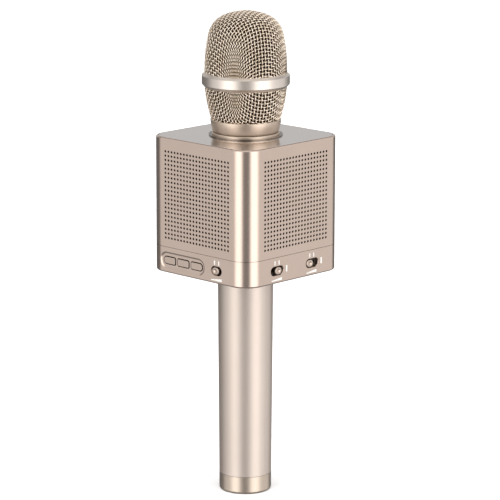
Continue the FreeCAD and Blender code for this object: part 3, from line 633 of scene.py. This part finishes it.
def perforation(patches, column, beside, z_low, z_high):
    """One square cell of the face with its round hole, edge break and bore."""
    out = column[1]
    along = (beside[0] - column[0]) / 2
    middle = (column[0] + beside[0]) / 2 + Vector((0, 0, (z_low + z_high) / 2))
    rise = Vector((0, 0, (z_high - z_low) / 2))
    side = along.normalized()
    up = rise.normalized()
    corners = [middle + along + rise, middle - along + rise,
               middle - along - rise, middle + along - rise]
    spokes = [side * math.cos(2 * math.pi * k / HOLE_SIDES)
              + up * math.sin(2 * math.pi * k / HOLE_SIDES) for k in range(HOLE_SIDES)]
    mouth = [middle + s * (HOLE_R + HOLE_CHAMFER) for s in spokes]
    bore = [middle + s * HOLE_R - out * HOLE_CHAMFER for s in spokes]
    back = [middle + s * HOLE_R - out * WALL for s in spokes]
    behind = [c - out * WALL for c in corners]
    quarter = HOLE_SIDES // 4
    for k in range(HOLE_SIDES):
        n = (k + 1) % HOLE_SIDES
        corner = k // quarter
        patches.face([corners[corner], mouth[n], mouth[k]], [out] * 3)
        patches.face([behind[corner], back[k], back[n]], [-out] * 3)
        slope = [(out - spokes[k]).normalized(), (out - spokes[n]).normalized()]
        patches.face([mouth[k], mouth[n], bore[n], bore[k]],
                     [slope[0], slope[1], slope[1], slope[0]])
        patches.face([bore[k], bore[n], back[n], back[k]],
                     [-spokes[k], -spokes[n], -spokes[n], -spokes[k]])
    for corner in range(4):
        before = (corner - 1) % 4
        k = corner * quarter
        patches.face([corners[before], corners[corner], mouth[k]], [out] * 3)
        patches.face([behind[corner], behind[before], back[k]], [-out] * 3)


# ---- head outline ------------------------------------------------------------------------

def arc(centre, radius, start, end, steps):
    """Points (r, z) of an arc between two angles."""
    angles = np.linspace(start, end, steps)
    return np.c_[centre[0] + radius * np.cos(angles), centre[1] + radius * np.sin(angles)]


def dome_outline(inset, end_z):
    """From the crown down: crown arc, knuckle arc, side arc, straight end."""
    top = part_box("grille_mesh_upper")[1]
    side_centre = np.array([top.x - SIDE_ARC_R, SIDE_ARC_Z])
    out = np.array([math.cos(SIDE_ARC_ANGLE), math.sin(SIDE_ARC_ANGLE)])
    knuckle_centre = side_centre + (SIDE_ARC_R - KNUCKLE_R) * out
    drop = knuckle_centre[1] - top.z
    crown_r = (KNUCKLE_R ** 2 - knuckle_centre[0] ** 2 - drop ** 2) / (2 * (drop + KNUCKLE_R))
    crown_centre = np.array([0.0, top.z - crown_r])
    crown_angle = math.atan2(*(knuckle_centre - crown_centre)[::-1])
    straight_r = top.x - inset
    parts = [
        arc(crown_centre, crown_r - inset, math.pi / 2, crown_angle, DOME_ARC_STEPS),
        arc(knuckle_centre, KNUCKLE_R - inset, crown_angle, SIDE_ARC_ANGLE,
            DOME_ARC_STEPS)[1:],
        arc(side_centre, SIDE_ARC_R - inset, SIDE_ARC_ANGLE, 0, DOME_SIDE_STEPS)[1:],
        np.c_[np.full(DOME_STRAIGHT_STEPS, straight_r),
              np.linspace(SIDE_ARC_Z, end_z, DOME_STRAIGHT_STEPS)][1:]]
    return np.vstack(parts)


def basket_outline(inset, foot_z, end_z):
    """From the axis out: an unseen flat bottom, a knuckle, and the shallow side arc."""
    side = basket_side(inset, np.linspace(foot_z, end_z, BASKET_SIDE_STEPS))
    out_angle = math.atan2(foot_z - LOWER_ARC_Z, side[0, 0] - LOWER_ARC_CENTRE)
    out = np.array([math.cos(out_angle), math.sin(out_angle)])
    centre = side[0] - BASKET_KNUCKLE_R * out
    knuckle = arc(centre, BASKET_KNUCKLE_R, -math.pi / 2, out_angle, BASKET_KNUCKLE_STEPS)
    floor = np.c_[np.linspace(0, knuckle[0, 0], BASKET_FLOOR_STEPS),
                  np.full(BASKET_FLOOR_STEPS, knuckle[0, 1])]
    return np.vstack([floor[:-1], knuckle, side[1:]])


def basket_side(inset, z):
    """Points (r, z) of the shallow arc of the basket's side at some heights."""
    r = LOWER_ARC_CENTRE + np.sqrt((LOWER_ARC_R - inset) ** 2 - (z - LOWER_ARC_Z) ** 2)
    return np.c_[r, z]


class Outline:
    """Turned surface, described by the distance along its outline from the axis."""

    def __init__(self, points):
        gaps = np.hypot(*np.diff(points, axis=0).T)
        self.points = points[np.r_[True, gaps > TINY]]
        self.along = np.r_[0, np.cumsum(np.hypot(*np.diff(self.points, axis=0).T))]
        slope = np.gradient(self.points, self.along, axis=0)
        self.slopes = slope / np.hypot(*slope.T)[:, None]
        self.length = self.along[-1]

    def radius_height(self, s):
        return (np.interp(s, self.along, self.points[:, 0]),
                np.interp(s, self.along, self.points[:, 1]))

    def slope(self, s):
        return (np.interp(s, self.along, self.slopes[:, 0]),
                np.interp(s, self.along, self.slopes[:, 1]))

    def place(self, s, turn):
        r, z = self.radius_height(s)
        return np.array([r * math.cos(turn), r * math.sin(turn), z])

    def nearest(self, place, guess):
        """Distance along the outline and turn of the surface point nearest a place."""
        turn = math.atan2(place[1], place[0])
        radius = math.hypot(place[0], place[1])
        s = guess
        for _ in range(NEAREST_ROUNDS):
            r, z = self.radius_height(s)
            dr, dz = self.slope(s)
            step = (radius - r) * dr + (place[2] - z) * dz
            s = min(max(s + step, 0.0), self.length)
            if abs(step) < TINY:
                break
        return s, turn


# ---- woven wire --------------------------------------------------------------------------

def next_crossing(outline, a, b, c, guess):
    """Crossing one pitch from two known ones, on the far side of the third."""
    middle = (a + b) / 2
    half = np.linalg.norm(b - a) / 2
    away = (middle - c) / np.linalg.norm(middle - c)
    place = middle + away * math.sqrt(max(MESH_PITCH ** 2 - half ** 2, LEAST_SPREAD ** 2))
    for _ in range(CROSSING_ROUNDS):
        s, turn = outline.nearest(place, guess)
        place = outline.place(s, turn)
        to_a = place - a
        to_b = place - b
        off_a = np.linalg.norm(to_a) - MESH_PITCH
        off_b = np.linalg.norm(to_b) - MESH_PITCH
        dr, dz = outline.slope(s)
        down = np.array([dr * math.cos(turn), dr * math.sin(turn), dz])
        across = np.array([-math.sin(turn), math.cos(turn), 0.0])
        to_a /= np.linalg.norm(to_a)
        to_b /= np.linalg.norm(to_b)
        system = np.array([[to_a @ down, to_a @ across], [to_b @ down, to_b @ across]])
        step = np.linalg.solve(system + TINY * np.eye(2), [-off_a, -off_b])
        step = np.clip(step, -MESH_PITCH / 2, MESH_PITCH / 2)
        place = place + down * step[0] + across * step[1]
    return outline.nearest(place, guess)


def quarter_net(outline):
    """Crossings of one quarter of a square cloth laid over a turned surface.

    The cloth shears but doesn't stretch: each crossing is one pitch from two others.
    The openness of a cell is 1 where its wires cross square and 0 where they close up."""
    count = int(outline.length / MESH_PITCH) + SPARE_CROSSINGS
    along = np.full((count, count), np.nan)
    places = np.full((count, count, 3), np.nan)
    openness = np.ones((count, count))
    for i in range(count):
        if i * MESH_PITCH <= outline.length:
            along[i, 0] = along[0, i] = i * MESH_PITCH
            places[i, 0] = outline.place(i * MESH_PITCH, 0.0)
            places[0, i] = outline.place(i * MESH_PITCH, math.pi / 2)
    for total in range(2, 2 * count):
        for i in range(max(1, total - count + 1), min(total, count)):
            j = total - i
            a, b, c = places[i - 1, j], places[i, j - 1], places[i - 1, j - 1]
            if np.isnan(a[0]) or np.isnan(b[0]) or np.isnan(c[0]):
                continue
            guess = max(along[i - 1, j], along[i, j - 1])
            s, turn = next_crossing(outline, a, b, c, guess)
            if s < outline.length - TINY:
                along[i, j] = s
                places[i, j] = outline.place(s, turn)
                cell = np.cross(a - places[i, j], b - places[i, j])
                openness[i, j] = np.linalg.norm(cell) / MESH_PITCH ** 2
    return along, places, openness


def wires(outline, first_s, last_s):
    """Runs of crossings for both sets of wires, with the side each passes on."""
    along, places, openness = quarter_net(outline)
    count = len(along)
    runs = ([], [])
    for family in (0, 1):
        for i in range(1 - count, count):
            run = []
            for j in range(1 - count, count):
                row, column = (i, j) if family == 0 else (j, i)
                s = along[abs(row), abs(column)]
                if not first_s <= s <= last_s:
                    store_run(runs[family], run)
                    run = []
                    continue
                x, y, z = places[abs(row), abs(column)]
                over = 1 if (i + j) % 2 == family else -1
                run.append((math.copysign(x, row), math.copysign(y, column), z, s,
                            openness[abs(row), abs(column)], over))
            store_run(runs[family], run)
    return runs


def store_run(runs, run):
    """Keeps a run that is long enough to make a wire."""
    if len(run) > 2:
        runs.append(np.array(run))


def curve_through(points, steps):
    """Smooth curve through points, with the given steps between two of them."""
    padded = np.vstack([2 * points[0] - points[1], points, 2 * points[-1] - points[-2]])
    made = []
    for t in np.arange(steps) / steps:
        p0, p1, p2, p3 = padded[:-3], padded[1:-2], padded[2:-1], padded[3:]
        made.append(0.5 * (2 * p1 + (p2 - p0) * t + (2 * p0 - 5 * p1 + 4 * p2 - p3) * t * t
                           + (3 * p1 - p0 - 3 * p2 + p3) * t ** 3))
    curve = np.stack(made, axis=1).reshape(-1, points.shape[1])
    return np.vstack([curve, points[-1]])


def woven_wire(name, outline, runs, material):
    """Round wires that pass over and under each other at the crossings.

    Each point stores its painted shade: how far it stands out of the weave, less where the
    wires close up."""
    points = []
    faces = []
    weave_shade = []
    spin = np.array(Matrix.Rotation(CLOTH_TURN, 3, "Z"))
    outward = -math.copysign(1.0, outline.slope(outline.length)[1])
    for run in runs:
        centre = curve_through(run[:, :5], WIRE_STEPS)
        phase = np.arange(len(centre)) / WIRE_STEPS
        sway = np.cos(math.pi * phase) * run[0, 5]
        dr, dz = outline.slope(centre[:, 3])
        radius = np.maximum(np.hypot(centre[:, 0], centre[:, 1]), TINY)
        normal = outward * np.c_[-dz * centre[:, 0] / radius, -dz * centre[:, 1] / radius, dr]
        line = centre[:, :3] + normal * (sway * WIRE_R)[:, None]
        tangent = np.gradient(line, axis=0)
        tangent /= np.linalg.norm(tangent, axis=1)[:, None]
        side = np.cross(tangent, normal)
        side /= np.linalg.norm(side, axis=1)[:, None]
        lift = np.cross(side, tangent)
        start = len(points)
        angles = 2 * math.pi * np.arange(WIRE_SIDES) / WIRE_SIDES
        ring = (line[:, None, :] + WIRE_R * (np.cos(angles)[None, :, None] * lift[:, None, :]
                + np.sin(angles)[None, :, None] * side[:, None, :]))
        points.extend((ring.reshape(-1, 3) @ spin.T).tolist())
        # painted shade: darker on each wire's side inside the weave, and more where the wires
        # close up
        packed_shade = PACKED_SHADE * (1 - centre[:, 4])
        weave_shade.extend((((sway[:, None] + np.cos(angles)[None, :]) / 2)
                      - packed_shade[:, None]).ravel().tolist())
        for m in range(len(line) - 1):
            base = start + m * WIRE_SIDES
            for k in range(WIRE_SIDES):
                n = (k + 1) % WIRE_SIDES
                faces.append((base + k, base + n, base + WIRE_SIDES + n,
                              base + WIRE_SIDES + k))
        last = start + (len(line) - 1) * WIRE_SIDES
        faces.append(tuple(start + k for k in reversed(range(WIRE_SIDES))))
        faces.append(tuple(last + k for k in range(WIRE_SIDES)))
    piece = smooth_piece(name, points, faces, material)
    piece.data.attributes.new("weave_shade", "FLOAT", "POINT").data.foreach_set("value", weave_shade)
    return piece


def woven_grille(material):
    """Dome and basket of woven wire, each in two sets of wires."""
    band_low, band_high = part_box("grille_band")
    collar_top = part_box("grille_collar")[1].z
    inset = 2 * WIRE_R
    dome_end = band_low.z + SPARE_END
    dome = Outline(dome_outline(inset, dome_end))
    clamped = dome.length - (band_high.z - CLAMPED - dome_end)
    basket = Outline(basket_outline(inset, collar_top - SPARE_END, band_low.z + CLAMPED))
    in_collar = basket.along[np.argmax(basket.points[:, 1] > collar_top - IN_COLLAR)]
    for part, outline, first_s, last_s in (("upper", dome, 0.0, clamped),
                                           ("lower", basket, in_collar, basket.length)):
        for thread, runs in zip(("warp", "weft"), wires(outline, first_s, last_s)):
            piece = woven_wire("grille_" + part + "_" + thread, outline, runs, material)
            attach(piece, "grille")
            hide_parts("grille_mesh_" + part)


# ---- foam windscreen ---------------------------------------------------------------------

def windscreen(material):
    """Foam liner under the wire: a closed shell with an uneven, open surface."""
    low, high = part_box("windscreen_foam")
    outer = foam_side(FOAM_INSET, low.z)
    inner = foam_side(FOAM_INSET + FOAM_T, low.z)[::-1]
    outline = np.vstack([outer, inner])
    around = int(2 * math.pi * high.x / FOAM_STEP)
    points = []
    faces = []
    for r, z in outline:
        for k in range(around):
            turn = 2 * math.pi * k / around
            place = Vector((r * math.cos(turn), r * math.sin(turn), z))
            fine = noise.noise(place * FOAM_FINE_SCALE / MM)
            rough = noise.noise(place / MM) + FOAM_FINE_SHARE * fine
            pull = 1 - FOAM_ROUGH * (FOAM_SUNK + rough) / place.length
            points.append((place.x * pull, place.y * pull,
                           z + FOAM_ROUGH * rough * FOAM_UPWARD))
    for i in range(len(outline) - 1):
        for k in range(around):
            n = (k + 1) % around
            faces.append((i * around + k, (i + 1) * around + k,
                          (i + 1) * around + n, i * around + n))
    last = (len(outline) - 1) * around
    for k in range(around):
        n = (k + 1) % around
        faces.append((last + k, k, n, last + n))
    piece = smooth_piece("windscreen_liner", points, faces, material)
    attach(piece, "windscreen")
    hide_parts("windscreen_foam")


def foam_side(inset, foot_z):
    """Outline of the liner at an inset, from near the crown to its foot, evenly spaced."""
    dome = dome_outline(inset, LOWER_ARC_Z + FOAM_UNDER_DOME)
    side = basket_side(inset, np.linspace(LOWER_ARC_Z, foot_z, FOAM_SIDE_STEPS))
    line = np.vstack([dome, side])
    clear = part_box("windscreen_foam")[1].x
    line[:, 0] = np.minimum(line[:, 0], clear)
    along = np.r_[0, np.cumsum(np.hypot(*np.diff(line, axis=0).T))]
    even = np.linspace(FOAM_CROWN_GAP, along[-1], int(along[-1] / FOAM_STEP))
    return np.c_[np.interp(even, along, line[:, 0]), np.interp(even, along, line[:, 1])]


# ---- printed marks -----------------------------------------------------------------------

def mark_shapes(side):
    """Flat outlines (along the face, height) round the slide controls of one side."""
    shapes = []
    for centre in MARK_CENTRES[side]:
        left, right = (centre + end for end in WEDGE_ENDS)
        low, high = (MARK_Z + top for top in WEDGE_TOPS)
        foot = MARK_Z + WEDGE_FOOT
        shapes.append([(left, foot), (right, foot), (right, high), (left, low)])
        for x, z in STROKES_AT:
            shapes.append(bar(centre + x, MARK_Z + z, *STROKE_SIZE))
        if side == "right":
            x, z = LONG_STROKE_AT
            shapes.append(bar(centre + x, MARK_Z + z, *LONG_STROKE_SIZE))
    return shapes


def bar(x, z, width, height):
    """Upright rectangle round its middle."""
    return [(x - width / 2, z - height / 2), (x + width / 2, z - height / 2),
            (x + width / 2, z + height / 2), (x - width / 2, z + height / 2)]


def printed_marks(material):
    """Thin ink pads on the base: volume wedges and plain strokes, no lettering."""
    half = -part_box("speaker_housing")[0].y
    for side, turn in (("front", 0.0), ("right", math.pi / 2)):
        spin = Matrix.Rotation(turn, 3, "Z")
        points = []
        faces = []
        for shape in mark_shapes(side):
            base = len(points)
            count = len(shape)
            for lift in (MARK_T, -MARK_T):
                points += [tuple(spin @ Vector((x, -half - lift, z))) for x, z in shape]
            faces.append(tuple(base + k for k in range(count)))
            faces.append(tuple(base + count + k for k in reversed(range(count))))
            for k in range(count):
                n = (k + 1) % count
                faces.append((base + k, base + count + k, base + count + n, base + n))
        mesh = bpy.data.meshes.new("printed_marks_" + side)
        mesh.from_pydata(points, [], faces)
        piece = add_piece("printed_marks_" + side, mesh, material)
        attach(piece, "body")


# ---- studio ------------------------------------------------------------------------------

def add_camera():
    """Camera in front of the cube's corner, looking slightly down."""
    data = bpy.data.cameras.new("camera")
    data.lens = CAMERA_LENS_MM
    data.sensor_width = SENSOR_MM
    camera = bpy.data.objects.new("camera", data)
    bpy.context.scene.collection.objects.link(camera)
    level = math.cos(CAMERA_ELEVATION) * CAMERA_DISTANCE
    place = Vector((math.sin(CAMERA_AZIMUTH) * level, -math.cos(CAMERA_AZIMUTH) * level,
                    math.sin(CAMERA_ELEVATION) * CAMERA_DISTANCE + CAMERA_TARGET_Z))
    heading = CAMERA_AZIMUTH - CAMERA_AIM_ASIDE
    ahead = Vector((-math.sin(heading) * math.cos(CAMERA_PITCH),
                    math.cos(heading) * math.cos(CAMERA_PITCH), -math.sin(CAMERA_PITCH)))
    right = Vector((math.cos(heading), math.sin(heading), 0))
    up = right.cross(ahead)
    tilted_right = right * math.cos(CAMERA_ROLL) + up * math.sin(CAMERA_ROLL)
    tilted_up = tilted_right.cross(ahead)
    turn = Matrix((tilted_right, tilted_up, -ahead)).transposed()
    camera.matrix_world = Matrix.Translation(place) @ turn.to_4x4()
    bpy.context.scene.camera = camera


def add_world():
    """Soft boxes and pale walls all round, brighter overhead."""
    world = bpy.data.worlds.new("studio")
    bpy.context.scene.world = world
    nodes = Nodes(world)
    maths = nodes.maths
    x, y, height = nodes.split(nodes.node("ShaderNodeTexCoord").outputs["Generated"])
    to_camera = CAMERA_AZIMUTH - math.pi / 2

    def off_angle(angle):
        """Angle of the looked-up direction away from another, without sign."""
        off = maths("SUBTRACT", maths("ARCTAN2", y, x), angle)
        return maths("ABSOLUTE", maths("WRAP", off, math.pi, -math.pi))

    walls = 0.0
    for degrees, half_width, blur, level in WALLS:
        off = off_angle(to_camera + math.radians(degrees))
        start = math.radians(half_width + blur)
        full = math.radians(half_width - blur)
        walls = maths("ADD", walls, nodes.fade(off, start, full, 0.0, level))
    back = nodes.fade(off_angle(to_camera), *BACK_WALL_ANGLES, 0.0, BACK_WALL_LIGHT)
    back = maths("MULTIPLY", back, nodes.fade(height, *BACK_WALL_HEIGHTS))
    lit = maths("ADD", walls, back)
    for heights in (WALL_TOP_HEIGHTS, WALL_FOOT_HEIGHTS):
        lit = maths("MULTIPLY", lit, nodes.fade(height, *heights))
    ahead = maths("ADD", maths("MULTIPLY", x, math.cos(to_camera)),
                  maths("MULTIPLY", y, math.sin(to_camera)))
    overhead = maths("MULTIPLY", nodes.fade(height, *OVERHEAD_HEIGHTS),
                     nodes.fade(ahead, *OVERHEAD_REACH))
    lit = maths("ADD", lit, maths("MULTIPLY", overhead, OVERHEAD_LIGHT))
    room = nodes.fade(height, *FLOOR_HEIGHTS, ROOM_LIGHT, FLOOR_LIGHT)
    background = nodes.tree.nodes["Background"]
    background.inputs["Color"].default_value = (1, 1, 1, 1)
    nodes.wire(maths("ADD", lit, room), background.inputs["Strength"])


def add_floor():
    """Plain pale floor, large enough to fill the view."""
    mesh = bpy.data.meshes.new("floor")
    corners = [(x * FLOOR_REACH, y * FLOOR_REACH, 0)
               for x, y in ((-1, -1), (1, -1), (1, 1), (-1, 1))]
    mesh.from_pydata(corners, [], [(0, 1, 2, 3)])
    finish = Finish("floor")
    grain = finish.noise(30, 3.0)
    finish.colour(finish.blend(grain, (0.93, 0.93, 0.93), (0.96, 0.96, 0.96)))
    finish.shader.inputs["Roughness"].default_value = 0.9
    floor = add_piece("floor", mesh, finish.material)
    floor.visible_glossy = False


def add_key_light():
    """Wide, even light from overhead, for a bright floor and a very soft shadow."""
    data = bpy.data.lights.new("key", "SUN")
    data.angle = KEY_LIGHT_WIDTH
    data.energy = KEY_LIGHT
    light = bpy.data.objects.new("key", data)
    light.rotation_euler = KEY_LIGHT_TILT
    light.visible_glossy = False
    bpy.context.scene.collection.objects.link(light)


# ---- assembly ----------------------------------------------------------------------------

materials = make_materials()
paint_frame(materials)
shell = perforated_housing(materials["champagne_paint"])
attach(shell, "body")
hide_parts("speaker_housing")
woven_grille(materials["grille_wire"])
windscreen(materials["foam"])
printed_marks(white_print())
add_floor()
add_world()
add_key_light()
add_camera()
bpy.context.scene.view_settings.view_transform = "Standard"
